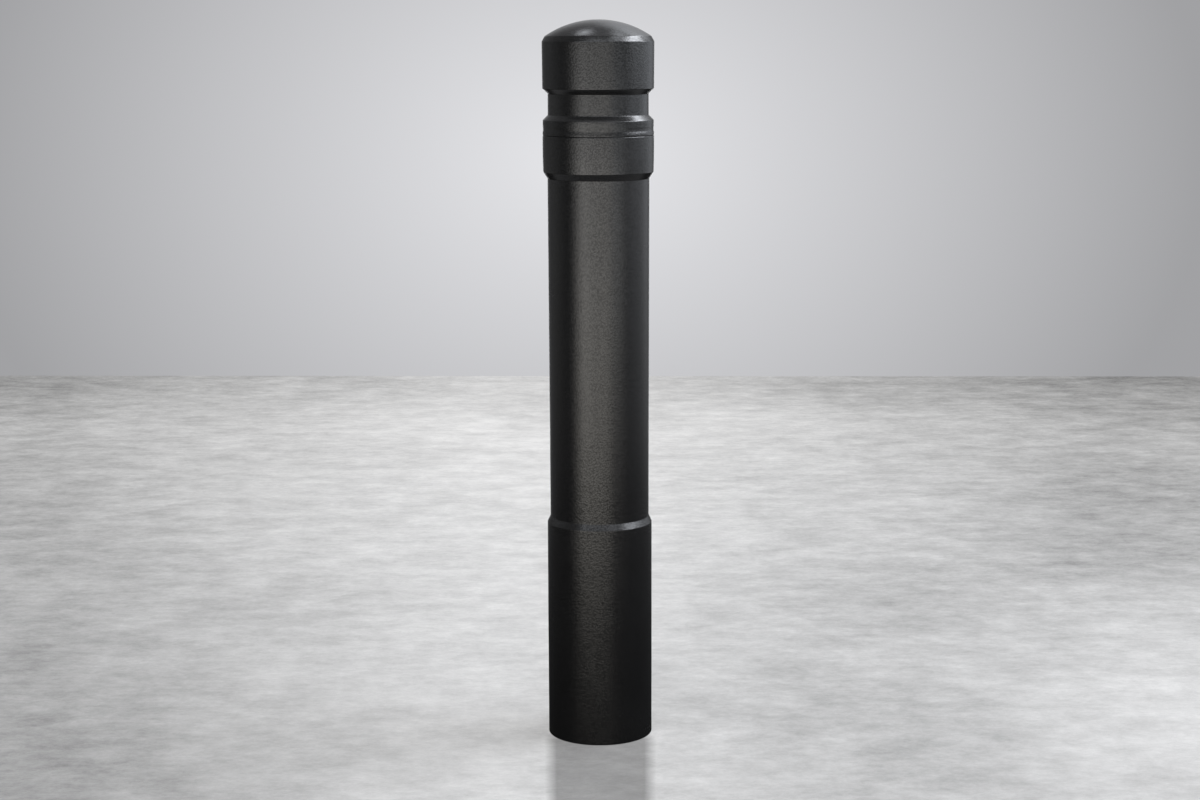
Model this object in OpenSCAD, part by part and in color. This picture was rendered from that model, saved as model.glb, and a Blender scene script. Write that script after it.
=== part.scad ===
// Bollard cover sleeve: a moulded plastic body that slides over a steel post,
// a push-fit domed head, and the foam strips that hold the sleeve on the post.
// The part stands on the ground at z = 0, with the post's axis on z.

/* [Post] */
// Outside diameter of the post that the sleeve slides over
post_d = 168.3; // [100:0.1:330]
// Clearance between the foam strips and the post
post_gap = 0.15; // [0.05:0.05:1]

/* [Foam strips] */
// Thickness of a foam strip
foam_t = 3.2; // [1.5:0.1:12]
// Width of a foam strip, measured round the post
foam_w = 50; // [20:1:60]
// Length of a foam strip
foam_l = 200; // [60:5:240]
// Number of foam strips round the post in each of the two rows
foam_count = 4; // [3:1:6]
// Thickness of the adhesive film that a strip is stuck on with
glue_t = 0.1; // [0.05:0.05:0.3]
// Bare shaft between a row of strips and the end of the shaft
foam_end_gap = 10; // [2:1:40]

/* [Foot skirt] */
// Height of the straight part of the foot skirt
skirt_h = 403.5; // [100:0.5:600]
// How far the skirt stands out from the foot of the shaft
skirt_step = 5.5; // [2:0.1:20]
// Height of the bevel from the skirt in to the shaft
skirt_bevel_h = 11.5; // [4:0.5:40]
// Wall thickness of the skirt
skirt_wall = 3.8; // [2:0.1:7]
// Radius of the edge that stands on the ground
foot_edge_r = 2; // [0.5:0.1:3]

/* [Shaft] */
// Height of the shaft between the two bevels
shaft_h = 621.5; // [500:0.5:1200]
// Wall thickness at the foot of the shaft
shaft_foot_wall = 3.3; // [2:0.1:10]
// Wall thickness at the top of the shaft, which tapers out a little
shaft_top_wall = 4.6; // [2:0.1:10]

/* [Collar] */
// Height of the bevel from the shaft out to the collar
collar_bevel_h = 11.8; // [4:0.1:40]
// Height of the collar from its bevel up to the seam under the head
collar_h = 65.7; // [52:0.1:160]
// How far the collar stands out from the top of the shaft
collar_step = 8.4; // [4:0.1:30]
// Wall thickness of the collar, which is the head's socket
collar_wall = 4; // [2:0.1:8]
// How far the collar draws in at its lower edge
collar_draw_in = 0.6; // [0.1:0.1:2]
// Height over which the collar draws in
collar_draw_h = 26; // [5:1:40]

/* [Head joint] */
// Length of the spigot that plugs into the collar
spigot_l = 42; // [34:1:50]
// Clearance between the spigot and its socket
spigot_gap = 0.5; // [0.3:0.05:1]
// Wall thickness of the spigot behind the seal
spigot_wall = 3.2; // [2:0.1:6]
// Plain land of the spigot above the seal
spigot_land = 8; // [3:0.5:10]
// Lead-in chamfer at the end of the spigot
spigot_lead = 2; // [0.5:0.1:3]
// Width of the foam seal round the spigot
seal_w = 18; // [8:1:20]
// Thickness of the foam seal
seal_t = 1.6; // [0.8:0.1:3]
// Clearance between the seal and the socket
seal_gap = 0.3; // [0.2:0.05:0.5]
// Clearance between the seal and each end of its seat
seal_end_gap = 0.3; // [0.1:0.1:1]
// Radius of the two edges that meet at the seam
seam_edge_r = 1.2; // [0.3:0.1:2]

/* [Head] */
// Height of the collar's upper part, from the seam to the recess's bevel
head_collar_h = 27.5; // [20:0.5:80]
// How far the head sits inside the collar's radius at the seam
seam_inset = 0.2; // [0.1:0.1:1]
// How far the head sits inside the collar's radius at its waist
waist_inset = 0.8; // [0.3:0.1:2]
// Height of the waist above the seam
waist_h = 9; // [5:0.5:15]
// How far the collar's top edge sits inside the collar's radius
collar_top_inset = 0.4; // [0.1:0.1:2]
// Depth of the band recess below the collar's radius
recess_depth = 9.6; // [3:0.1:12]
// Height of the straight part of the band recess
recess_h = 37.6; // [15:0.1:100]
// Height of the bevel under the band recess
recess_bevel_h = 9; // [3:0.1:30]
// Height of the bevel from the band recess out to the head
head_bevel_h = 9.2; // [3:0.1:30]
// How far the head's top stands out from the collar
head_overhang = 0.5; // [0:0.1:10]
// How far the head draws in from its top to its lower edge
head_draft = 0.4; // [0.1:0.1:2]
// Height of the head's straight side
head_h = 83.7; // [30:0.1:200]
// Height of the shoulder under the dome
shoulder_h = 9.5; // [4:0.1:20]
// How far the shoulder draws in
shoulder_in = 5.3; // [2:0.1:15]
// Rise of the dome above the shoulder
dome_h = 29.5; // [10:0.5:80]
// Wall thickness of the head
head_wall = 3.6; // [2:0.1:6]
// Thickness of the ledge that sits on the collar's rim
ledge_t = 4; // [2:0.1:8]

/* [Edges] */
// Radius of the bevels' edges
bevel_edge_r = 1.5; // [0.3:0.1:2.5]
// Radius of the shoulder's two edges
shoulder_edge_r = 3; // [0.5:0.1:5]
// Radius of the corners inside the walls
inner_edge_r = 3; // [0.5:0.1:4]

/* [Hidden] */
// Names and order of the pieces
foam_rows = ["lower", "upper"];
foam_names = [for (row = foam_rows, i = [1:foam_count]) str(row, "_foam_strip_", i)];

// Drawing resolution, and the share of an edge that a rounded corner may use
$fn = 128;
arc_steps = 4;
dome_steps = 24;
corner_room_share = 0.45;

// Colours
moulded_black = "#2c2d2f";
foam_grey = "#3b3b3a";

// Radii of the sleeve body, from the post outwards
foam_face_r = post_d / 2 + post_gap;
foam_back_r = foam_face_r + foam_t;
bore_r = foam_back_r + glue_t;
shaft_foot_r = bore_r + shaft_foot_wall;
shaft_top_r = bore_r + shaft_top_wall;
skirt_r = shaft_foot_r + skirt_step;
skirt_bore_r = skirt_r - skirt_wall;
collar_r = shaft_top_r + collar_step;
socket_r = collar_r - collar_wall;

// Radii of the head and its spigot
spigot_r = socket_r - spigot_gap;
seal_face_r = socket_r - seal_gap;
seal_back_r = seal_face_r - seal_t;
seal_seat_r = seal_back_r - glue_t;
spigot_bore_r = seal_seat_r - spigot_wall;
seam_r = collar_r - seam_inset;
waist_r = collar_r - waist_inset;
collar_top_r = collar_r - collar_top_inset;
collar_bore_r = waist_r - head_wall;
recess_r = collar_r - recess_depth;
recess_bore_r = recess_r - head_wall;
head_top_r = collar_r + head_overhang;
head_low_r = head_top_r - head_draft;
head_bore_r = head_low_r - head_wall;
dome_edge_r = head_top_r - shoulder_in;
dome_ball_r = (dome_edge_r ^ 2 + dome_h ^ 2) / (2 * dome_h);
dome_bore_r = dome_ball_r - head_wall;

// Heights, from the ground up
shaft_foot_z = skirt_h + skirt_bevel_h;
shaft_top_z = shaft_foot_z + shaft_h;
collar_low_z = shaft_top_z + collar_bevel_h;
seam_z = collar_low_z + collar_h;
collar_top_z = seam_z + head_collar_h;
recess_low_z = collar_top_z + recess_bevel_h;
recess_top_z = recess_low_z + recess_h;
head_low_z = recess_top_z + head_bevel_h;
shoulder_z = head_low_z + head_h;
dome_edge_z = shoulder_z + shoulder_h;
apex_z = dome_edge_z + dome_h;
dome_centre_z = apex_z - dome_ball_r;

// Heights of the spigot and the seal's seat
spigot_end_z = seam_z - spigot_l;
seal_seat_top_z = seam_z - spigot_land;
seal_top_z = seal_seat_top_z - seal_end_gap;
seal_low_z = seal_top_z - seal_w;
seal_seat_low_z = seal_low_z - seal_end_gap;

// Height of each row of foam strips: one at the foot of the shaft and one at its top
foam_row_z = [shaft_foot_z + foam_end_gap, shaft_top_z - foam_end_gap - foam_l];
foam_angle = foam_w / foam_back_r * 180 / PI;

// Direction from one point to another, as a vector of length 1
function direction(from, to) = (to - from) / norm(to - from);

// Turn from one angle to another by the short way round
function short_turn(from, to) = (to - from + 540) % 360 - 180;

// Points of the arc that rounds the corner at b, between a and c.
// The radius is cut down where the corner's two edges are too short for it.
function rounded_corner(a, b, c, radius) =
    let (
        to_a = direction(b, a),
        to_c = direction(b, c),
        half_angle = acos(max(-1, min(1, to_a * to_c))) / 2
    )
    radius == 0 || half_angle > 89.9 ? [b] :
    let (
        room = corner_room_share * min(norm(a - b), norm(c - b)),
        cut = min(radius / tan(half_angle), room),
        arc_r = cut * tan(half_angle),
        centre = b + direction([0, 0], to_a + to_c) * arc_r / sin(half_angle),
        first = b + to_a * cut - centre,
        last = b + to_c * cut - centre,
        start = atan2(first.y, first.x),
        turn = short_turn(start, atan2(last.y, last.x))
    )
    [for (i = [0:arc_steps])
        let (angle = start + turn * i / arc_steps)
        centre + arc_r * [cos(angle), sin(angle)]];

// Outline through corners given as [radius from the axis, height, corner radius]
function rounded_outline(corners) =
    let (count = len(corners), points = [for (p = corners) [p.x, p.y]])
    [for (i = [0:count - 1])
        each rounded_corner(points[(i + count - 1) % count], points[i], points[(i + 1) % count],
            corners[i].z)];

// Corners along a ball of radius ball_r about the dome's centre, from the dome's edge to the axis
function dome_corners(ball_r, edge_corner_r) =
    let (edge_angle = asin(dome_edge_r / dome_ball_r))
    [for (i = [0:dome_steps])
        let (angle = edge_angle * (1 - i / dome_steps))
        [ball_r * sin(angle), dome_centre_z + ball_r * cos(angle), i == 0 ? edge_corner_r : 0]];

function reversed(list) = [for (i = [len(list) - 1:-1:0]) list[i]];

// The moulded body: foot skirt, shaft and the collar that is the head's socket
module sleeve_body() {
    outside = [
        [skirt_r, 0, foot_edge_r],
        [skirt_r, skirt_h, bevel_edge_r],
        [shaft_foot_r, shaft_foot_z, bevel_edge_r],
        [shaft_top_r, shaft_top_z, bevel_edge_r],
        [collar_r - collar_draw_in, collar_low_z, bevel_edge_r],
        [collar_r, collar_low_z + collar_draw_h, bevel_edge_r],
        [collar_r, seam_z, seam_edge_r],
    ];
    inside = [
        [socket_r, seam_z, seam_edge_r],
        [socket_r, collar_low_z, inner_edge_r],
        [bore_r, shaft_top_z, inner_edge_r],
        [bore_r, shaft_foot_z, inner_edge_r],
        [skirt_bore_r, skirt_h, inner_edge_r],
        [skirt_bore_r, 0, 0],
    ];
    color(moulded_black)
        rotate_extrude()
            polygon(rounded_outline(concat(outside, inside)));
}

// The push-fit head: spigot, upper collar, band recess, straight side, shoulder and dome
module head_cap() {
    spigot = [
        [spigot_bore_r, spigot_end_z, 0],
        [spigot_r - spigot_lead, spigot_end_z, 0],
        [spigot_r, spigot_end_z + spigot_lead, 0],
        [spigot_r, seal_seat_low_z, 0],
        [seal_seat_r, seal_seat_low_z, 0],
        [seal_seat_r, seal_seat_top_z, 0],
        [spigot_r, seal_seat_top_z, 0],
        [spigot_r, seam_z, 0],
    ];
    outside = [
        [seam_r, seam_z, seam_edge_r],
        [waist_r, seam_z + waist_h, bevel_edge_r],
        [collar_top_r, collar_top_z, bevel_edge_r],
        [recess_r, recess_low_z, bevel_edge_r],
        [recess_r, recess_top_z, bevel_edge_r],
        [head_low_r, head_low_z, bevel_edge_r],
        [head_top_r, shoulder_z, shoulder_edge_r],
    ];
    inside = [
        [head_bore_r, shoulder_z, inner_edge_r],
        [head_bore_r, head_low_z, inner_edge_r],
        [recess_bore_r, recess_top_z, inner_edge_r],
        [recess_bore_r, recess_low_z, inner_edge_r],
        [collar_bore_r, collar_top_z, inner_edge_r],
        [collar_bore_r, seam_z + ledge_t, inner_edge_r],
        [spigot_bore_r, seam_z + ledge_t, inner_edge_r],
    ];
    outer_dome = dome_corners(dome_ball_r, shoulder_edge_r);
    inner_dome = dome_corners(dome_bore_r, inner_edge_r);
    color(moulded_black)
        rotate_extrude()
            polygon(rounded_outline(concat(spigot, outside, outer_dome, reversed(inner_dome), inside)));
}

// Foam tape round the spigot, which holds the head in its socket and keeps water out
module spigot_seal() {
    color(foam_grey)
        rotate_extrude()
            translate([seal_back_r, seal_low_z])
                square([seal_t, seal_w]);
}

// One foam strip, stuck to the wall of the bore
module foam_strip(row, place) {
    middle = 360 / foam_count * place;
    color(foam_grey)
        rotate(middle - foam_angle / 2)
            rotate_extrude(angle = foam_angle)
                translate([foam_face_r, foam_row_z[row]])
                    square([foam_t, foam_l]);
}

sleeve_body();
head_cap();
spigot_seal();
for (row = [0, 1], place = [0:foam_count - 1])
    foam_strip(row, place);
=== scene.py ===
"""Looks of the bollard cover sleeve: two black moulded shells, a foam seal and eight foam strips.

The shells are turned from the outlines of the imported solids. Everything is in metres, in the frame's axes:
the sleeve stands on the floor at the origin, and the camera looks along +Y."""

import math

import bmesh
import bpy
from mathutils import Matrix, Vector, noise


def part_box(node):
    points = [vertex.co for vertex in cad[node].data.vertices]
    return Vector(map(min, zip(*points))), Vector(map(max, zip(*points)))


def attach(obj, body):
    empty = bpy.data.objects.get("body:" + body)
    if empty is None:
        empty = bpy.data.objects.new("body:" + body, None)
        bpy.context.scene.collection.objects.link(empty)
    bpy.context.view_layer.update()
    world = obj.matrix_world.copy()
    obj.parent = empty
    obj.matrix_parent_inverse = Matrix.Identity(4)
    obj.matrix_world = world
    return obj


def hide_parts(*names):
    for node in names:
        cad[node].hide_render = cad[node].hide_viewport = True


MM = 0.001
FULL_TURN = 2 * math.pi

# Camera, solved from the ellipses of the sleeve's rings in a picture of 1200 by 800 pixels
PICTURE_W = 1200
FOCAL_PX = 2220
SENSOR_W = 36
CAMERA_PLACE = (0, -4.029, 1.2945)
CAMERA_PITCH = math.radians(9.37)
CAMERA_YAW = math.radians(-0.02)
CAMERA_ROLL = math.radians(-0.20)

# Studio. WALL_LEVELS are (distance from the light pool's centre, brightness), STUDIO_LEVELS are
# (height of a direction, from -1 straight down to 1 straight up, brightness)
WARM = (1, 0.945, 0.84)
PLAIN = (0.97, 0.98, 1)
COOL = (0.91, 0.945, 1)
BLUISH = (0.79, 0.88, 1)
POOL_CENTRE = (-0.008, 1, -0.055)
POOL_SHAPE = (1, 1, 1.3)
WALL_COLOUR = (0.965, 0.968, 1.0)
FILL_COLOUR = (0.12, 0.12, 0.123, 1)
WALL_LEVELS = ((0, 0.815), (0.272, 0.37), (0.34, 0.37), (0.6, 0.55))
MIRRORED_WALL = 0.8
MIRRORED_WALL_REACH = 0.5
MIRRORED_WALL_FOOT = (0.05, 0.17)
STUDIO_LEVELS = ((-1, 0.26), (-0.6, 0.26), (-0.5, 0.02), (-0.3, 0.02), (-0.24, 0.04), (-0.19, 0.18),
                 (-0.13, 0.15), (0.1, 0.14), (0.4, 0.27), (0.85, 0.30), (0.97, 0.75))

# Floor. A pair of places is where a change starts and where it ends, along x / distance or along y
FLOOR_CORNERS = ((-8, -10), (8, -10), (8, 4.16), (-8, 4.60))
FLOOR_COLOUR = (0.35, 0.345, 0.34)
FLOOR_GLOW = (0.75, 0.745, 0.74)
FLOOR_TONES = (0.59, 0.79)
FLOOR_ROUGHNESS = (0.5, 0.8)
GLOW_LEVELS = (0.72, 1.15)
GLOW_NEAR_AND_FAR = (-0.3, 3.2)
FLOOR_CLOUD_SCALE = 1.6
MOTTLE = 0.4
MOTTLE_SCALE = 9
MOTTLE_STRETCH = (0.7, 1, 1)
AHEAD_OF_CAMERA = (0.5, 12.5)
AHEAD_AT_Y = (-3.53, 8.47)
# Painted shade on the floor: darker to the left and right, near the wall and in a patch right of the foot
LEFT_SHADE = -0.25
LEFT_SHADE_SIDE = (-0.26, -0.06)
LEFT_SHADE_Y = (-2, -0.6)
RIGHT_SHADE = -0.27
RIGHT_SHADE_SIDE = (0, 0.22)
RIGHT_SHADE_Y = (0.3, 1.3)
FAR_SHADE = -0.12
FAR_SHADE_Y = (3.3, 4.2)
PATCH_SHADE = -0.2
PATCH_CENTRE = (0.55, -0.1, 0)
PATCH_SHAPE = (1, 0.4, 0)
PATCH_REACH = 0.65
# A painted reflection of the foot: a darker strip in front of it, with a darker colour and less glow
PAINTED_REFLECTION_GLOW = 0.55
PAINTED_REFLECTION_COLOUR = 0.4
PAINTED_REFLECTION_EDGE = (0.0205, 0.0262)
PAINTED_REFLECTION_NEAR_END = (-0.60, -0.42)
PAINTED_REFLECTION_FAR_END = (-0.06, -0.02)

# Shells
SEGMENTS = 288
SLEEVE_STEP = 16 * MM
HEAD_STEP = 6 * MM
EDGE_STEPS = (1.2 * MM, 3 * MM, 6 * MM)
EDGE_REACH = 2.5 * MM
EDGE_TURN = 0.5
WAVE_LENGTH = 90 * MM
WAVE_DEPTH = 0.15 * MM
WAVE_RADIUS = 100 * MM
LIP_H = 16 * MM
LIP_DEPTH = 0.30 * MM
LIP_STEP = 1 * MM
LIP_FROM = 0.95
TINY = 1e-6
SLEEVE_PANELS = ((0, 0, 0.79, 1), (0.8, 0, 1, 1))
HEAD_PANELS = ((0, 0.21, 1, 1), (0, 0, 1, 0.2))

# Plastic
BLACK_TONES = ((0.3, (0.0030, 0.0030, 0.0031)), (0.7, (0.0046, 0.0046, 0.0047)))
BLACK_CLOUD_SCALE = 9
BLACK_ROUGHNESS = (0.21, 0.28)
SATIN_PATCH_SCALE = 14
SPECK_ROUGHNESS = 0.05
SPECK_SCALE = 420
EDGE_POLISH = -0.05
GRAIN_STRETCH = (1.6, 1.6, 1)
GRAIN_DEPTH = 0.20 * MM
GRAIN_HEIGHTS = (0.3, 0.9)
SPECULAR_MIDDLE = 0.535
SPECULAR_SWING = 0.165
SKIRT_GAIN = 1.45
SKIRT_GAIN_FADES = (0.40, 0.60)
GRAIN_ON_SLOPES = 0.35
GRAIN_SLOPES = (0.15, 0.5)
PEBBLE_SCALE = 300
PEBBLE_SMOOTHNESS = 0.6
PIT_SCALE = 540
PIT_SHARE = 0.3

# Foam
STRIP_COLUMNS = 20
STRIP_ROWS = 72
STRIP_EDGE_R = 1.1 * MM
STRIP_CROWN = 0.35 * MM
STRIP_PANEL_W = 0.48
STRIP_BACK_U = 0.52
STRIP_RIM_U = (0.49, 0.51)
FOAM_DENT = 0.12 * MM
FOAM_DENT_LENGTH = 9 * MM
FOAM_TONES = ((0.1, (0.022, 0.022, 0.021)), (0.8, (0.062, 0.062, 0.060)))
FOAM_ROUGHNESS = (0.82, 0.98)
FOAM_SPECULAR = 0.25
FOAM_PATCH_SCALE = 60
CELL_SCALE = 900
CELL_DEPTH = 0.4 * MM
ROUNDED_SHARES = (0, 0.08, 0.3, 0.62, 1)
SEAL_STEPS = 240
SEAL_ROWS = 8
SEAL_EDGE_R = 0.6 * MM
SEAL_BUTT = 0.6 * MM
SEAL_END_PANEL = 0.01


def outline_of(node):
    """The outline of a turned CAD node, as an ordered list of (radius, height), and whether it closes.

    Every ring of such a node has a vertex on the half plane y = 0, x > 0, and the edges between them
    trace its outline. A closed one starts at the inner edge of the foot and goes outwards, an open one
    starts at its upper end on the axis."""
    links = {}
    for edge in node.data.edges:
        ends = [node.data.vertices[i].co for i in edge.vertices]
        if any(abs(p.y) > TINY or p.x < -TINY for p in ends):
            continue
        a, b = [(round(p.x, 7), round(p.z, 7)) for p in ends]
        if a != b:
            links.setdefault(a, set()).add(b)
            links.setdefault(b, set()).add(a)
    tips = [point for point in links if len(links[point]) == 1]
    if tips:
        walk = [max(tips, key=lambda point: point[1])]
    else:
        start = min(links, key=lambda point: (point[1], point[0]))
        walk = [start, max(links[start])]
    while True:
        onward = links[walk[-1]] - set(walk)
        if not onward:
            return walk, not tips
        walk.append(onward.pop())


def stops_along(length, step):
    """Distances along a straight stretch at which it gets a ring, closer near its two ends."""
    if length < 2 * EDGE_STEPS[-1]:
        return [0]
    first, last = EDGE_STEPS[-1], length - EDGE_STEPS[-1]
    count = math.ceil((last - first) / step)
    middle = [first + (last - first) * i / count for i in range(1, count)]
    return [0, *EDGE_STEPS, *middle, *[length - d for d in reversed(EDGE_STEPS)]]


def with_rings(outline, closed, step):
    """The outline with points added on its long straight stretches."""
    following = outline[1:] + outline[:1] if closed else outline[1:]
    rings = []
    for (r0, z0), (r1, z1) in zip(outline, following):
        length = math.hypot(r1 - r0, z1 - z0)
        for d in stops_along(length, step):
            rings.append((r0 + (r1 - r0) * d / length, z0 + (z1 - z0) * d / length))
    return rings if closed else rings + [outline[-1]]


def with_lip_rings(outline, seam_z):
    """The head's outline with close rings on the wall above its seam, where the lip is."""
    widest = max(r for r, z in outline)
    closer = []
    for (r0, z0), (r1, z1) in zip(outline, outline[1:]):
        near = max(z0, z1) > seam_z and min(z0, z1) < seam_z + LIP_H
        lipped = near and min(r0, r1) > LIP_FROM * widest
        count = math.ceil(abs(z1 - z0) / LIP_STEP) if lipped else 1
        closer += [(r0 + (r1 - r0) * i / count, z0 + (z1 - z0) * i / count) for i in range(count)]
    return closer + [outline[-1]]


def raise_lip(head, seam_z):
    """Give the wall above the seam a slight lip, which runs out towards the front and the back."""
    widest = max(math.hypot(v.co.x, v.co.y) for v in head.data.vertices)
    for vert in head.data.vertices:
        share = (vert.co.z - seam_z) / LIP_H
        radius = math.hypot(vert.co.x, vert.co.y)
        if 0 < share < 1 and radius > LIP_FROM * widest:
            sideways = min(1, 2 * (vert.co.x / radius) ** 2)
            grown = 1 + LIP_DEPTH * math.sin(FULL_TURN * share) * sideways / radius
            vert.co.x *= grown
            vert.co.y *= grown


def lengths_along(outline):
    """How far along the outline each of its points is."""
    far = [0]
    for (r0, z0), (r1, z1) in zip(outline, outline[1:]):
        far.append(far[-1] + math.hypot(r1 - r0, z1 - z0))
    return far


def edge_values(outline, closed):
    """For each point of an outline, how much of an outer edge it is, from 0 to 1."""
    count = len(outline)

    def reach(at, way):
        gone = 0
        while gone < EDGE_REACH and (closed or 0 <= at + way < count):
            (r0, z0), (r1, z1) = outline[at % count], outline[(at + way) % count]
            gone += math.hypot(r1 - r0, z1 - z0)
            at += way
        return outline[at % count]

    outward = 1 if closed else -1
    values = []
    for i, (r, z) in enumerate(outline):
        before, after = reach(i, -1), reach(i, 1)
        into = math.atan2(z - before[1], r - before[0])
        out = math.atan2(after[1] - z, after[0] - r)
        turn = (out - into + math.pi) % FULL_TURN - math.pi
        values.append(min(1, max(0, outward * turn / EDGE_TURN)))
    return values


def wave(angle, height):
    """Slight unevenness of a moulded wall, as a change of radius."""
    turn = Vector((math.cos(angle), math.sin(angle), 0)) * WAVE_RADIUS
    return noise.noise((turn + Vector((0, 0, height))) / WAVE_LENGTH) * WAVE_DEPTH


def link_mesh(name, shape):
    """A new object from a closed bmesh, smooth-shaded."""
    bmesh.ops.recalc_face_normals(shape, faces=shape.faces[:])
    for face in shape.faces:
        face.smooth = True
    mesh = bpy.data.meshes.new(name)
    shape.to_mesh(mesh)
    shape.free()
    piece = bpy.data.objects.new(name, mesh)
    bpy.context.scene.collection.objects.link(piece)
    return piece


def add_face(shape, corners, uvs):
    """A face with its places on the piece's map."""
    face = shape.faces.new(corners)
    layer = shape.loops.layers.uv["OFBake"]
    for loop, uv in zip(face.loops, uvs):
        loop[layer].uv = uv


def turned(name, outline, closed, panels):
    """A shell turned from its outline, with a slightly uneven wall.

    panels are the two rectangles (u0, v0, u1, v1) of its map: the outside, up to the point farthest in
    height from the outline's start, and the inside."""
    shape = bmesh.new()
    edge_layer = shape.verts.layers.float.new("edge")
    shape.loops.layers.uv.new("OFBake")
    rings = []
    for (radius, height), edge in zip(outline, edge_values(outline, closed)):
        ring = []
        for i in range(SEGMENTS if radius > TINY else 1):
            angle = FULL_TURN * i / SEGMENTS
            r = radius + wave(angle, height) if radius > TINY else 0
            vert = shape.verts.new((r * math.cos(angle), r * math.sin(angle), height))
            vert[edge_layer] = edge
            ring.append(vert)
        rings.append(ring)
    path = outline + outline[:1] if closed else outline
    rings = rings + rings[:1] if closed else rings
    far = lengths_along(path)
    split = max(range(len(path)), key=lambda k: abs(path[k][1] - path[0][1]))
    for k in range(len(path) - 1):
        outside = k < split
        u0, v0, u1, v1 = panels[0] if outside else panels[1]
        start, stop = (0, far[split]) if outside else (far[split], far[-1])
        low, high = [v0 + (v1 - v0) * (far[m] - start) / (stop - start) for m in (k, k + 1)]
        a, b = rings[k], rings[k + 1]
        for i in range(SEGMENTS):
            j = (i + 1) % SEGMENTS
            left, right = [u0 + (u1 - u0) * m / SEGMENTS for m in (i, i + 1)]
            corners = [a[i % len(a)], a[j % len(a)], b[j % len(b)], b[i % len(b)]]
            uvs = [(left, low), (right, low), (right, high), (left, high)]
            if len(a) == 1:
                del corners[0], uvs[0]
            if len(b) == 1:
                del corners[2], uvs[2]
            add_face(shape, corners, uvs)
    return link_mesh(name, shape)


def foam_dent(place):
    """Slight unevenness of a foam face, from 0 to twice FOAM_DENT."""
    return (1 + noise.noise(place / FOAM_DENT_LENGTH)) * FOAM_DENT


def rounding(share, size, edge_r):
    """How far a foam face has sunk at a share from 0 to 1 along a side of this size, near its ends."""
    inward = min(share, 1 - share) * size
    if inward >= edge_r:
        return 0
    return edge_r - math.sqrt(edge_r ** 2 - (edge_r - inward) ** 2)


def shares_along(count, size, edge_r):
    """Shares along a side of this size, with some close to each end for its rounded edge."""
    close = [edge_r * d / size for d in ROUNDED_SHARES]
    middle = [close[-1] + (1 - 2 * close[-1]) * i / count for i in range(1, count)]
    return [*close, *middle, *[1 - d for d in reversed(close)]]


def foam_strip(name, node):
    """A strip of foam tape on the bore: flat on the wall, slightly crowned and rounded on its free side."""
    places = [v.co for v in node.data.vertices]
    middle = sum(places, Vector()) / len(places)
    facing = math.atan2(middle.y, middle.x)
    radii = [math.hypot(p.x, p.y) for p in places]
    inner, outer = min(radii), max(radii)
    half = max(abs((math.atan2(p.y, p.x) - facing + math.pi) % FULL_TURN - math.pi) for p in places)
    low, high = min(p.z for p in places), max(p.z for p in places)
    width = 2 * half * outer
    length = high - low
    across = shares_along(STRIP_COLUMNS, width, STRIP_EDGE_R)
    along = shares_along(STRIP_ROWS, length, STRIP_EDGE_R)
    shape = bmesh.new()
    shape.loops.layers.uv.new("OFBake")

    def corner(u, v, radius):
        angle = facing + (2 * u - 1) * half
        return Vector((radius * math.cos(angle), radius * math.sin(angle), low + length * v))

    free, stuck = [], []
    for v in along:
        free.append([])
        stuck.append([])
        for u in across:
            crown = STRIP_CROWN * (1 - (1 - (2 * u - 1) ** 2) * (1 - (2 * v - 1) ** 8))
            sunk = max(rounding(u, width, STRIP_EDGE_R), rounding(v, length, STRIP_EDGE_R))
            radius = inner + crown + sunk + foam_dent(corner(u, v, inner))
            free[-1].append(shape.verts.new(corner(u, v, radius)))
            stuck[-1].append(shape.verts.new(corner(u, v, outer)))

    rows, columns = len(along), len(across)
    for i in range(rows - 1):
        for j in range(columns - 1):
            steps = ((i, j), (i, j + 1), (i + 1, j + 1), (i + 1, j))
            for face, shift in ((free, 0), (stuck, STRIP_BACK_U)):
                uvs = [(shift + STRIP_PANEL_W * across[n], along[m]) for m, n in steps]
                add_face(shape, [face[m][n] for m, n in steps], uvs)
    rim = [(0, j) for j in range(columns)]
    rim += [(i, columns - 1) for i in range(1, rows)]
    rim += [(rows - 1, j) for j in reversed(range(columns - 1))]
    rim += [(i, 0) for i in reversed(range(1, rows - 1))]
    left, right = STRIP_RIM_U
    for k, (i, j) in enumerate(rim):
        m, n = rim[(k + 1) % len(rim)]
        v, v_on = k / len(rim), (k + 1) / len(rim)
        uvs = [(left, v), (left, v_on), (right, v_on), (right, v)]
        add_face(shape, [free[i][j], free[m][n], stuck[m][n], stuck[i][j]], uvs)
    return link_mesh(name, shape)


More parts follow.
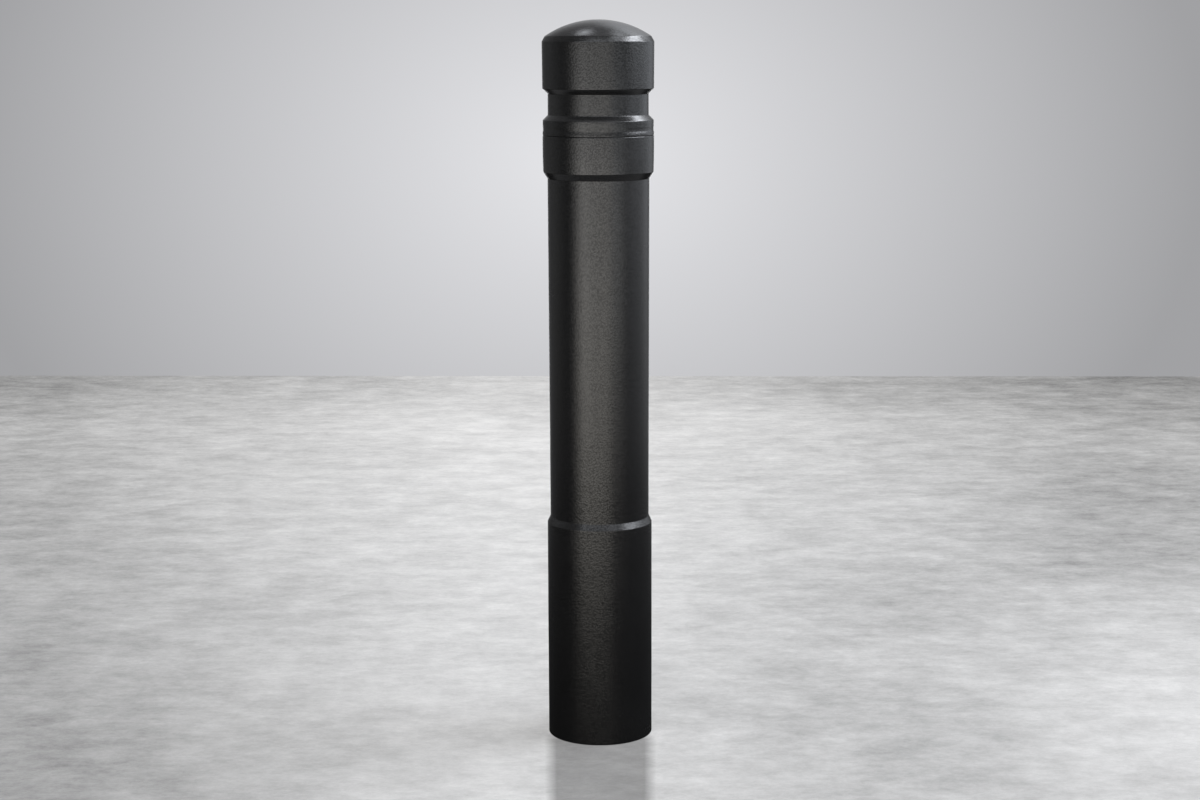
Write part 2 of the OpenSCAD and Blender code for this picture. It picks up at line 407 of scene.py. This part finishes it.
def foam_seal(name, node):
    """A band of foam tape round the spigot, whose two ends butt together behind."""
    places = [v.co for v in node.data.vertices]
    radii = [math.hypot(p.x, p.y) for p in places]
    inner, outer = min(radii), max(radii)
    low, high = min(p.z for p in places), max(p.z for p in places)
    tall = high - low
    section = [(inner, low), (inner, high)]
    for v in reversed(shares_along(SEAL_ROWS, tall, SEAL_EDGE_R)):
        section.append((outer - rounding(v, tall, SEAL_EDGE_R), low + tall * v))
    shape = bmesh.new()
    shape.loops.layers.uv.new("OFBake")
    gap = SEAL_BUTT / outer
    rows = []
    for i in range(SEAL_STEPS + 1):
        angle = math.pi / 2 + gap / 2 + (FULL_TURN - gap) * i / SEAL_STEPS
        row = []
        for k, (r, z) in enumerate(section):
            place = Vector((r * math.cos(angle), r * math.sin(angle), z))
            if 2 < k < len(section) - 1:
                place *= 1 - foam_dent(place) / outer
                place.z = z
            row.append(shape.verts.new(place))
        rows.append(row)
    count = len(section)
    for i in range(SEAL_STEPS):
        for k in range(count):
            m = (k + 1) % count
            uvs = [(i / SEAL_STEPS, k / count), (i / SEAL_STEPS, (k + 1) / count),
                   ((i + 1) / SEAL_STEPS, (k + 1) / count), ((i + 1) / SEAL_STEPS, k / count)]
            add_face(shape, [rows[i][k], rows[i][m], rows[i + 1][m], rows[i + 1][k]], uvs)
    for row in (rows[0], rows[-1]):
        uvs = [(SEAL_END_PANEL * k / count, SEAL_END_PANEL * (k % 3)) for k in range(count)]
        add_face(shape, row, uvs)
    return link_mesh(name, shape)


def new_material(name):
    material = bpy.data.materials.new(name)
    material.use_nodes = True
    nodes = material.node_tree.nodes
    return material, nodes, material.node_tree.links, nodes["Principled BSDF"]


def stretched(nodes, links, source, factors):
    """Coordinates multiplied by a factor for each axis."""
    node = nodes.new("ShaderNodeVectorMath")
    node.operation = "MULTIPLY"
    links.new(source, node.inputs[0])
    node.inputs[1].default_value = factors
    return node.outputs["Vector"]


def texture(nodes, links, source, kind, scale, **inputs):
    """A texture node over these coordinates."""
    node = nodes.new(kind)
    node.inputs["Scale"].default_value = scale
    for name, value in inputs.items():
        node.inputs[name].default_value = value
    links.new(source, node.inputs["Vector"])
    return node


def spread(nodes, links, source, low, high, start=0.0, stop=1.0):
    """A value from start to stop spread over the range from low to high."""
    node = nodes.new("ShaderNodeMapRange")
    node.inputs["From Min"].default_value = start
    node.inputs["From Max"].default_value = stop
    node.inputs["To Min"].default_value = low
    node.inputs["To Max"].default_value = high
    links.new(source, node.inputs["Value"])
    return node.outputs["Result"]


def maths(nodes, links, operation, *values):
    node = nodes.new("ShaderNodeMath")
    node.operation = operation
    for value, socket in zip(values, node.inputs):
        links.new(value, socket)
    return node.outputs["Value"]


def how_far(nodes, links, source, centre, scale):
    """How far a place is from a centre, with its three axes scaled."""
    for operation, factor in (("SUBTRACT", centre), ("MULTIPLY", scale)):
        node = nodes.new("ShaderNodeVectorMath")
        node.operation = operation
        links.new(source, node.inputs[0])
        node.inputs[1].default_value = factor
        source = node.outputs["Vector"]
    length = nodes.new("ShaderNodeVectorMath")
    length.operation = "LENGTH"
    links.new(source, length.inputs[0])
    return length.outputs["Value"]


def tones(nodes, links, source, *stops):
    """A colour from a value, by stops of (value, colour) in rising order."""
    node = nodes.new("ShaderNodeValToRGB")
    elements = node.color_ramp.elements
    elements[0].position = stops[0][0]
    elements[1].position = stops[-1][0]
    for value, colour in stops[1:-1]:
        elements.new(value)
    for element, (value, colour) in zip(elements, stops):
        element.color = (*colour, 1)
    links.new(source, node.inputs["Fac"])
    return node.outputs["Color"]


def moulded_black():
    """Black polyethylene: satin, with a fine pebbled grain and slightly polished edges."""
    material, nodes, links, shader = new_material("moulded_black")
    place = nodes.new("ShaderNodeTexCoord")
    spot = place.outputs["Object"]
    narrow = stretched(nodes, links, spot, GRAIN_STRETCH)
    edge = nodes.new("ShaderNodeAttribute")
    edge.attribute_name = "edge"

    cloud = texture(nodes, links, spot, "ShaderNodeTexNoise", BLACK_CLOUD_SCALE, Detail=4)
    links.new(tones(nodes, links, cloud.outputs["Fac"], *BLACK_TONES), shader.inputs["Base Color"])

    patches = texture(nodes, links, spot, "ShaderNodeTexNoise", SATIN_PATCH_SCALE, Detail=3)
    specks = texture(nodes, links, spot, "ShaderNodeTexNoise", SPECK_SCALE, Detail=3)
    rough = maths(nodes, links, "ADD", spread(nodes, links, patches.outputs["Fac"], *BLACK_ROUGHNESS),
                  spread(nodes, links, specks.outputs["Fac"], -SPECK_ROUGHNESS, SPECK_ROUGHNESS))
    rough = maths(nodes, links, "ADD", rough, spread(nodes, links, edge.outputs["Fac"], 0, EDGE_POLISH))
    links.new(rough, shader.inputs["Roughness"])

    pebbles = texture(nodes, links, narrow, "ShaderNodeTexVoronoi", PEBBLE_SCALE)
    pebbles.feature = "SMOOTH_F1"
    pebbles.inputs["Smoothness"].default_value = PEBBLE_SMOOTHNESS
    pits = texture(nodes, links, narrow, "ShaderNodeTexNoise", PIT_SCALE, Detail=2)
    height = maths(nodes, links, "ADD", spread(nodes, links, pebbles.outputs["Distance"], 1, 0),
                   spread(nodes, links, pits.outputs["Fac"], -PIT_SHARE, PIT_SHARE))
    axes = nodes.new("ShaderNodeSeparateXYZ")
    links.new(spot, axes.inputs["Vector"])
    swing = maths(nodes, links, "MULTIPLY",
                  spread(nodes, links, height, -SPECULAR_SWING, SPECULAR_SWING, *GRAIN_HEIGHTS),
                  spread(nodes, links, axes.outputs["Z"], SKIRT_GAIN, 1, *SKIRT_GAIN_FADES))
    specular = spread(nodes, links, swing, SPECULAR_MIDDLE - 0.5, SPECULAR_MIDDLE + 0.5, -0.5, 0.5)
    links.new(specular, shader.inputs["Specular IOR Level"])
    facing = nodes.new("ShaderNodeSeparateXYZ")
    links.new(place.outputs["Normal"], facing.inputs["Vector"])
    slope = maths(nodes, links, "ABSOLUTE", facing.outputs["Z"])
    grain = nodes.new("ShaderNodeBump")
    grain.inputs["Distance"].default_value = GRAIN_DEPTH
    fading = spread(nodes, links, slope, 1, GRAIN_ON_SLOPES, *GRAIN_SLOPES)
    links.new(fading, grain.inputs["Strength"])
    links.new(height, grain.inputs["Height"])
    links.new(grain.outputs["Normal"], shader.inputs["Normal"])
    return material


def foam_material():
    """Dark grey closed-cell foam."""
    material, nodes, links, shader = new_material("grey_foam")
    spot = nodes.new("ShaderNodeTexCoord").outputs["Object"]
    cells = texture(nodes, links, spot, "ShaderNodeTexVoronoi", CELL_SCALE)
    links.new(tones(nodes, links, cells.outputs["Distance"], *FOAM_TONES), shader.inputs["Base Color"])
    patches = texture(nodes, links, spot, "ShaderNodeTexNoise", FOAM_PATCH_SCALE, Detail=3)
    links.new(spread(nodes, links, patches.outputs["Fac"], *FOAM_ROUGHNESS), shader.inputs["Roughness"])
    shader.inputs["Specular IOR Level"].default_value = FOAM_SPECULAR
    bump = nodes.new("ShaderNodeBump")
    bump.inputs["Distance"].default_value = CELL_DEPTH
    links.new(cells.outputs["Distance"], bump.inputs["Height"])
    links.new(bump.outputs["Normal"], shader.inputs["Normal"])
    return material


def seen(nodes, links):
    """1 for a ray from the camera, a mirror or a glass, and 0 for one that lights a surface."""
    ray = nodes.new("ShaderNodeLightPath")
    either = maths(nodes, links, "ADD", ray.outputs["Is Camera Ray"], ray.outputs["Is Glossy Ray"])
    return maths(nodes, links, "ADD", either, ray.outputs["Is Transmission Ray"])


def floor_material():
    """Pale concrete, clouded and mottled, with painted shade to the sides, near the wall and in a patch
    right of the foot, and a painted reflection of the foot.

    side is how far a place on the floor lies to the right, as a share of its distance ahead of the camera.
    The darker strip in front of the foot, with a darker colour and less glow, is a painted reflection of the
    foot."""
    material, nodes, links, shader = new_material("pale_floor")
    spot = nodes.new("ShaderNodeTexCoord").outputs["Object"]
    wide = stretched(nodes, links, spot, MOTTLE_STRETCH)
    cloud = texture(nodes, links, spot, "ShaderNodeTexNoise", FLOOR_CLOUD_SCALE, Detail=3)
    mottle = texture(nodes, links, wide, "ShaderNodeTexNoise", MOTTLE_SCALE, Detail=9, Roughness=0.85)
    axes = nodes.new("ShaderNodeSeparateXYZ")
    links.new(spot, axes.inputs["Vector"])
    x, y = axes.outputs["X"], axes.outputs["Y"]
    ahead = spread(nodes, links, y, *AHEAD_OF_CAMERA, *AHEAD_AT_Y)
    side = maths(nodes, links, "DIVIDE", x, ahead)

    # Painted shade: the floor darker to the left, to the right, near the wall and in a patch right of the
    # foot
    left = maths(nodes, links, "MULTIPLY", spread(nodes, links, side, LEFT_SHADE, 0, *LEFT_SHADE_SIDE),
                 spread(nodes, links, y, 0, 1, *LEFT_SHADE_Y))
    right = maths(nodes, links, "MULTIPLY", spread(nodes, links, side, 0, RIGHT_SHADE, *RIGHT_SHADE_SIDE),
                  spread(nodes, links, y, 0, 1, *RIGHT_SHADE_Y))
    far = spread(nodes, links, y, 0, FAR_SHADE, *FAR_SHADE_Y)
    from_patch = how_far(nodes, links, spot, PATCH_CENTRE, PATCH_SHAPE)
    painted_patch = spread(nodes, links, from_patch, PATCH_SHADE, 0, 0, PATCH_REACH)
    tone = spread(nodes, links, cloud.outputs["Fac"], *FLOOR_TONES)
    for part in (spread(nodes, links, mottle.outputs["Fac"], -MOTTLE, MOTTLE), left, right, far, painted_patch):
        tone = maths(nodes, links, "ADD", tone, part)

    # Painted reflection of the foot: a darker strip in front of it
    painted_reflection = spread(nodes, links, maths(nodes, links, "ABSOLUTE", side), 1, 0, *PAINTED_REFLECTION_EDGE)
    for part in (spread(nodes, links, y, 0, 1, *PAINTED_REFLECTION_NEAR_END),
                 spread(nodes, links, y, 1, 0, *PAINTED_REFLECTION_FAR_END)):
        painted_reflection = maths(nodes, links, "MULTIPLY", painted_reflection, part)
    shaded = maths(nodes, links, "MULTIPLY", tone, spread(nodes, links, painted_reflection, 1, PAINTED_REFLECTION_COLOUR))
    for value, colour, socket in ((shaded, FLOOR_COLOUR, "Base Color"),
                                  (tone, FLOOR_GLOW, "Emission Color")):
        links.new(tones(nodes, links, value, (0, (0, 0, 0)), (1, colour)), shader.inputs[socket])
    glow = maths(nodes, links, "MULTIPLY", spread(nodes, links, painted_reflection, 1, PAINTED_REFLECTION_GLOW),
                 spread(nodes, links, y, *GLOW_LEVELS, *GLOW_NEAR_AND_FAR))
    glow = maths(nodes, links, "MULTIPLY", glow, seen(nodes, links))
    links.new(glow, shader.inputs["Emission Strength"])
    links.new(spread(nodes, links, cloud.outputs["Fac"], *FLOOR_ROUGHNESS), shader.inputs["Roughness"])
    shader.inputs["Specular IOR Level"].default_value = 0
    return material


def flat_floor(name, corners):
    mesh = bpy.data.meshes.new(name)
    mesh.from_pydata([(x, y, 0) for x, y in corners], [], [range(len(corners))])
    floor = bpy.data.objects.new(name, mesh)
    bpy.context.scene.collection.objects.link(floor)
    return floor


def add_camera():
    data = bpy.data.cameras.new("camera")
    data.sensor_width = SENSOR_W
    data.lens = FOCAL_PX / PICTURE_W * SENSOR_W
    camera = bpy.data.objects.new("camera", data)
    bpy.context.scene.collection.objects.link(camera)
    camera.location = CAMERA_PLACE
    turn = Matrix.Rotation(CAMERA_YAW, 3, "Z") @ Matrix.Rotation(math.pi / 2 - CAMERA_PITCH, 3, "X")
    turn = turn @ Matrix.Rotation(CAMERA_ROLL, 3, "Z")
    camera.rotation_euler = turn.to_euler()
    bpy.context.scene.camera = camera


def softbox(name, azimuth, distance, width, heights, radiance, tints, fades):
    """An upright rectangular lamp that faces the sleeve's axis and isn't seen by the camera.

    azimuth is in degrees from the camera's side, to the right. heights are its lower and upper edge, and
    tints the colours there. fades are the shares of its size over which it fades out: to a smaller azimuth,
    to a larger one, downwards and upwards."""
    low, high = heights
    data = bpy.data.lights.new(name, "AREA")
    data.shape = "RECTANGLE"
    data.size, data.size_y = width, high - low
    data.energy = radiance * math.pi * width * (high - low)
    lamp = bpy.data.objects.new(name, data)
    bpy.context.scene.collection.objects.link(lamp)
    way = Vector((math.sin(math.radians(azimuth)), -math.cos(math.radians(azimuth)), 0))
    lamp.location = way * distance + Vector((0, 0, (low + high) / 2))
    lamp.rotation_euler = (-way).to_track_quat("-Z", "Y").to_euler()
    lamp.visible_camera = False

    data.use_nodes = True
    nodes = data.node_tree.nodes
    links = data.node_tree.links
    place = nodes.new("ShaderNodeNewGeometry")
    axes = nodes.new("ShaderNodeSeparateXYZ")
    links.new(place.outputs["Parametric"], axes.inputs["Vector"])
    before, after, below, above = fades
    strength = spread(nodes, links, axes.outputs["X"], 0, 1, 0, before)
    for axis, start, stop in (("X", 1, 1 - after), ("Y", 0, below), ("Y", 1, 1 - above)):
        fade = spread(nodes, links, axes.outputs[axis], 0, 1, start, stop)
        strength = maths(nodes, links, "MULTIPLY", strength, fade)
    links.new(strength, nodes["Emission"].inputs["Strength"])
    colour = tones(nodes, links, axes.outputs["Y"], (0, tints[0]), (1, tints[1]))
    links.new(colour, nodes["Emission"].inputs["Color"])


def add_world():
    """Even light from all round, and a pale wall with a pool of light on it behind the sleeve.

    The camera sees the wall all round. Reflections see it behind the sleeve, and a dim studio elsewhere."""
    world = bpy.data.worlds.new("studio")
    bpy.context.scene.world = world
    world.use_nodes = True
    nodes = world.node_tree.nodes
    links = world.node_tree.links
    fill = nodes["Background"]
    fill.inputs["Color"].default_value = FILL_COLOUR

    way = nodes.new("ShaderNodeTexCoord").outputs["Generated"]
    pool = how_far(nodes, links, way, POOL_CENTRE, POOL_SHAPE)
    wall = tones(nodes, links, pool, *[(far, (level, level, level)) for far, level in WALL_LEVELS])
    axes = nodes.new("ShaderNodeSeparateXYZ")
    links.new(way, axes.inputs["Vector"])
    aside = how_far(nodes, links, way, POOL_CENTRE, (1, 1, 0))
    behind = maths(nodes, links, "MULTIPLY",
                   spread(nodes, links, aside, MIRRORED_WALL, 0, 0, MIRRORED_WALL_REACH),
                   spread(nodes, links, axes.outputs["Z"], 0, 1, *MIRRORED_WALL_FOOT))
    upward = spread(nodes, links, axes.outputs["Z"], 0, 1, -1, 1)
    levels = [((1 + up) / 2, (level, level, level)) for up, level in STUDIO_LEVELS]
    studio = tones(nodes, links, upward, *levels)
    reflected = maths(nodes, links, "MAXIMUM", behind, studio)
    ray = nodes.new("ShaderNodeLightPath")
    shown = nodes.new("ShaderNodeMix")
    links.new(ray.outputs["Is Camera Ray"], shown.inputs["Factor"])
    links.new(reflected, shown.inputs["A"])
    links.new(wall, shown.inputs["B"])
    backdrop = nodes.new("ShaderNodeBackground")
    colour = tones(nodes, links, shown.outputs["Result"], (0, (0, 0, 0)), (1, WALL_COLOUR))
    links.new(colour, backdrop.inputs["Color"])

    mix = nodes.new("ShaderNodeMixShader")
    links.new(seen(nodes, links), mix.inputs["Fac"])
    links.new(fill.outputs["Background"], mix.inputs[1])
    links.new(backdrop.outputs["Background"], mix.inputs[2])
    links.new(mix.outputs["Shader"], nodes["World Output"].inputs["Surface"])


def dress(piece, material, body, node):
    """Give a piece its material, put it under its body's empty, and hide the CAD node that it stands for."""
    piece.data.materials.append(material)
    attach(piece, body)
    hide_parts(node)


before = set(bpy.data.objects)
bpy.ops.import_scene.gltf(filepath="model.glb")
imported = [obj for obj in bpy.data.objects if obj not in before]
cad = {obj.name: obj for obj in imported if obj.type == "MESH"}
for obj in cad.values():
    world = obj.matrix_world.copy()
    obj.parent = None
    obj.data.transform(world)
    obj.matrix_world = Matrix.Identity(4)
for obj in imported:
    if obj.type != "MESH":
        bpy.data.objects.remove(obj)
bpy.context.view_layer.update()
bpy.context.scene.view_settings.view_transform = "Standard"

black = moulded_black()
outline, closed = outline_of(cad["sleeve_body"])
outline = with_rings(outline, closed, SLEEVE_STEP)
sleeve = turned("sleeve_shell", outline, closed, SLEEVE_PANELS)
dress(sleeve, black, "sleeve", "sleeve_body")

seam_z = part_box("sleeve_body")[1][2]
outline, closed = outline_of(cad["head_cap"])
outline = with_rings(with_lip_rings(outline, seam_z), closed, HEAD_STEP)
head = turned("head_shell", outline, closed, HEAD_PANELS)
raise_lip(head, seam_z)
dress(head, black, "head", "head_cap")

foam = foam_material()
seal = foam_seal("seal_band", cad["spigot_seal"])
dress(seal, foam, "head", "spigot_seal")
for name in sorted(cad):
    if "foam_strip" in name:
        strip = foam_strip(name.replace("strip", "pad"), cad[name])
        dress(strip, foam, "sleeve", name)

floor = flat_floor("floor", FLOOR_CORNERS)
floor.data.materials.append(floor_material())
floor.visible_glossy = False
floor.visible_shadow = False

add_camera()
add_world()
softbox("front_low", -15.5, 2.6, 5.22, (-0.42, 1.80), 2.35, (WARM, PLAIN), (0.27, 0.04, 0.17, 0.42))
softbox("front_left", -30, 2.5, 1.1, (-0.15, 1.25), 1.1, (WARM, PLAIN), (0.45, 0.45, 0.35, 0.30))
softbox("left_fill", -106, 3.0, 3.0, (-0.30, 2.40), 0.12, (WARM, BLUISH), (0.25, 0.25, 0.35, 0.25))
softbox("front_right", 48.8, 2.6, 2.0, (-0.10, 1.56), 2.15, (WARM, BLUISH), (0.12, 0.72, 0.42, 0.50))
softbox("front_high", 0, 2.6, 5.46, (1.88, 4.70), 4.25, (COOL, COOL), (0.01, 0.02, 0.90, 0.01))
softbox("right_fill", 110, 3.0, 5.5, (-0.25, 2.50), 0.9, (PLAIN, BLUISH), (0.03, 0.20, 0.58, 0.25))
softbox("key", 85, 3.0, 3.97, (1.47, 4.70), 7.6, (COOL, COOL), (0.34, 0.04, 0.18, 0.01))
softbox("key_top", 105, 3.1, 4.4, (3.45, 4.70), 7.5, (COOL, COOL), (0.20, 0.15, 0.10, 0.05))
softbox("back_high", 153.5, 3.0, 3.35, (1.97, 4.70), 5.0, (COOL, COOL), (0.04, 0.90, 0.90, 0.01))
softbox("back_low", 180, 6.0, 3.4, (-1.30, 2.40), 3.2, (PLAIN, PLAIN), (0.45, 0.45, 0.20, 0.45))
softbox("top_front", 56, 2.2, 1.7, (3.6, 5.1), 4.5, (COOL, COOL), (0.30, 0.10, 0.20, 0.15))
softbox("top_right", 140, 1.9, 1.7, (3.9, 5.1), 3.6, (COOL, COOL), (0.35, 0.15, 0.15, 0.15))
softbox("top_back", -164, 1.8, 0.6, (3.75, 4.75), 9.5, (COOL, COOL), (0.40, 0.10, 0.40, 0.20))
